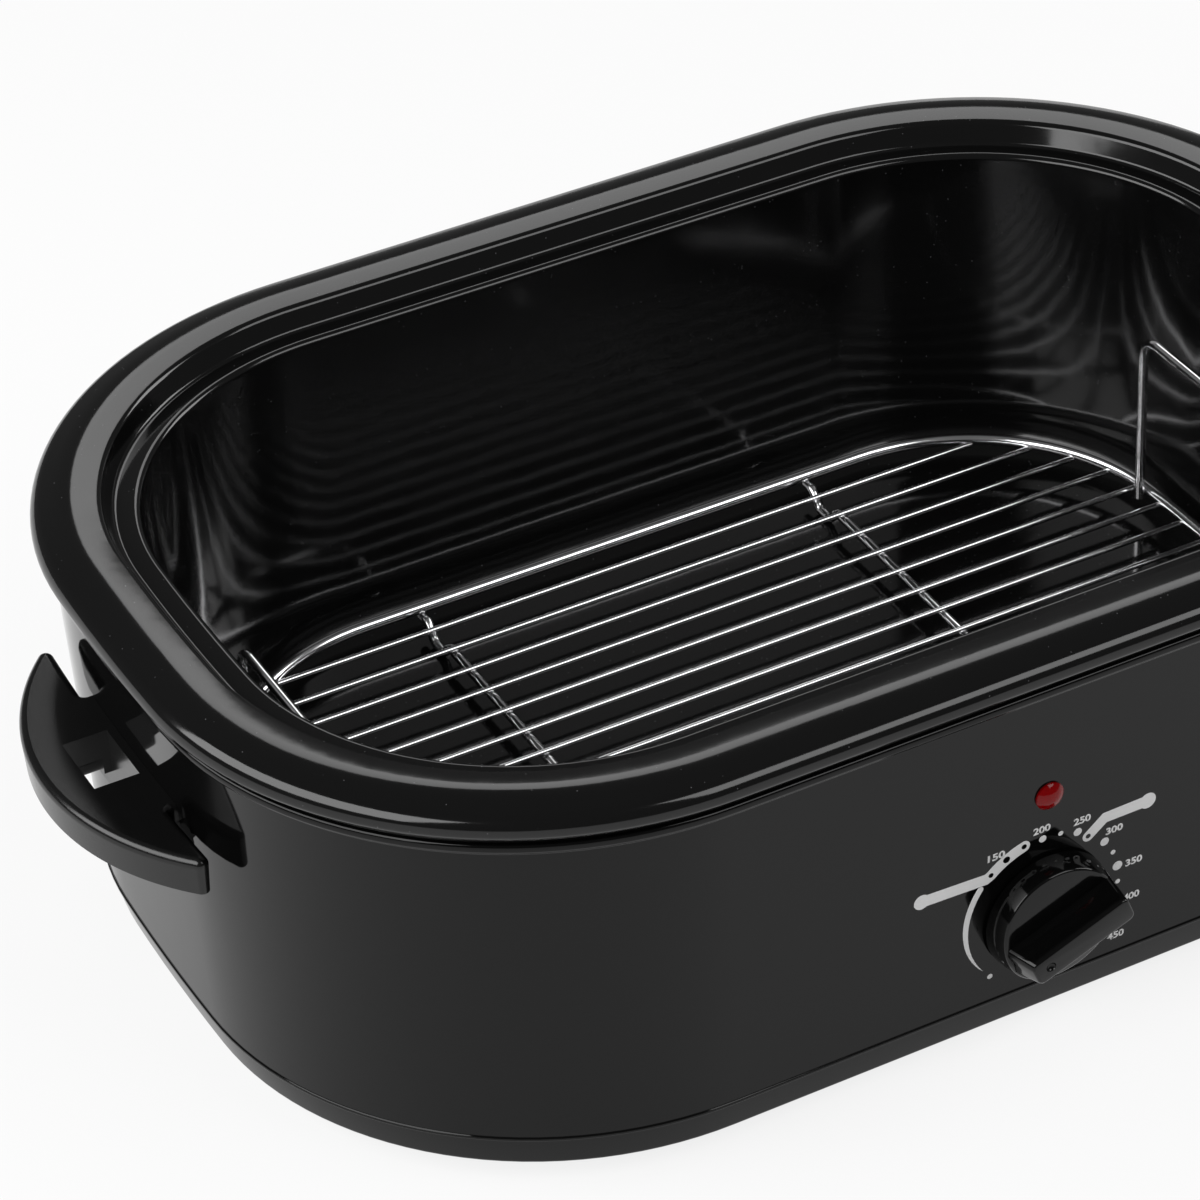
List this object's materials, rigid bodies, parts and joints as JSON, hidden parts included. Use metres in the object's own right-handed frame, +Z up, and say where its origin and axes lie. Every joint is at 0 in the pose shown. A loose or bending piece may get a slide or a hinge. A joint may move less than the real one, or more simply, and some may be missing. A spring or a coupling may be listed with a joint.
{
  "type": "electric roaster oven",
  "caption": "Oval countertop roaster oven with a lift-out enamelled cookwell, wire rack, end grips and a front dial with a pilot lamp.",
  "frame": {"origin": "on the table plane under the centre of the oval", "axes": "+Z up, +X along the length to the right of someone facing the dial, the dial faces -Y"},
  "size_m": [0.5968, 0.3961, 0.1779],
  "materials": {
    "gloss_black_steel": "gloss stove enamel",
    "speckled_enamel": "gloss vitreous enamel with fine pale specks",
    "aluminised_steel": "satin, mill finish",
    "zinc_steel": "zinc plated",
    "heater_foil": "matt foil",
    "glass_fibre": "loose glass-fibre felt",
    "black_phenolic": "moulded, satin to gloss",
    "thermostat_case": "ceramic-filled moulding",
    "red_lens": "clear red moulding",
    "lamp_capsule": "moulded",
    "foot_rubber": "matt",
    "gland_nylon": "moulded nylon",
    "rack_wire": "bright plated wire"
  },
  "bodies": {
    "oven_body": {"outer_shell": "gloss_black_steel", "base_pan": "gloss_black_steel", "heat_liner": "aluminised_steel", "weld_bosses": "zinc_steel", "bottom_reflector": "aluminised_steel", "standoff_sleeves": "zinc_steel", "feet": "foot_rubber", "foot_screws": "zinc_steel", "heater_band": "heater_foil", "heater_lugs": "zinc_steel", "heater_clips": "aluminised_steel", "insulation_blanket": "glass_fibre", "thermostat_bracket": "zinc_steel", "heat_shield": "aluminised_steel", "thermostat_body": "thermostat_case", "thermostat_screws": "zinc_steel", "sensor_pad": "zinc_steel", "sensor_stem": "zinc_steel", "pilot_lens": "red_lens", "pilot_retainer": "zinc_steel", "pilot_housing": "lamp_capsule", "cord_gland": "gland_nylon", "handle_right": "black_phenolic", "handle_left": "black_phenolic", "handle_washers": "zinc_steel", "handle_screws": "zinc_steel"},
    "dial_knob": {"knob": "black_phenolic", "thermostat_shaft": "zinc_steel", "knob_spring": "zinc_steel"},
    "pan": {"cookwell": "speckled_enamel"},
    "rack": {"rack_rim": "rack_wire", "rack_rails": "rack_wire", "rack_wires": "rack_wire", "rack_handles": "rack_wire"}
  },
  "joints": [
    {"name": "knob_turn", "type": "hinge", "parent": "oven_body", "child": "dial_knob", "pos_m": [0.013, -0.18022, 0.059], "axis": [0, 0.9995, 0.0314], "range_deg": [-20, 244]},
    {"name": "pan_lift", "type": "slide", "parent": "oven_body", "child": "pan", "axis": [0, 0, 1], "range_m": [0, 0.16]},
    {"name": "rack_lift", "type": "slide", "parent": "pan", "child": "rack", "axis": [0, 0, 1], "range_m": [0, 0.17]}
  ]
}
